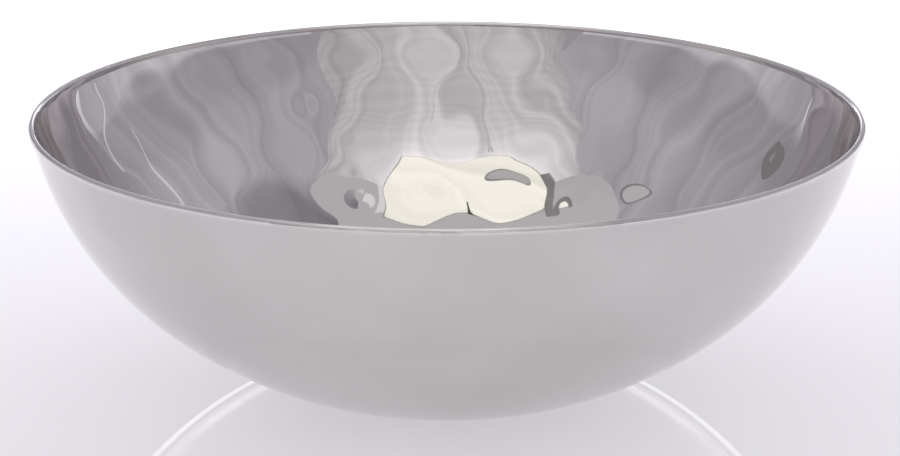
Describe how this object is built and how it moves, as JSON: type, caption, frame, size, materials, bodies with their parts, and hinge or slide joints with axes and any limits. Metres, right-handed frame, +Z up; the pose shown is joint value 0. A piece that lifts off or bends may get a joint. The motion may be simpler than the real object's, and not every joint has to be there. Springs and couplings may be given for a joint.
{
  "type": "offering bowl",
  "caption": "Round double-walled offering bowl: hammered mirror liner rolled over the edge of a smooth polished steel shell, standing on a flat pressed foot.",
  "frame": {"origin": "on the table, under the middle of the bowl", "axes": "+Z up along the bowl's axis, from the foot to the rim; X and Y lie anywhere round it"},
  "size_m": [0.3, 0.3, 0.102],
  "materials": {
    "liner_steel": "hand-hammered stainless sheet, mirror polished",
    "shell_steel": "smooth spun stainless sheet, soft polish",
    "sealant": "cured silicone bead",
    "plug_rubber": "moulded matt rubber"
  },
  "bodies": {
    "root": {"hammered_liner": "liner_steel", "outer_shell": "shell_steel", "rim_seal": "sealant", "vent_plug": "plug_rubber"}
  },
  "joints": []
}
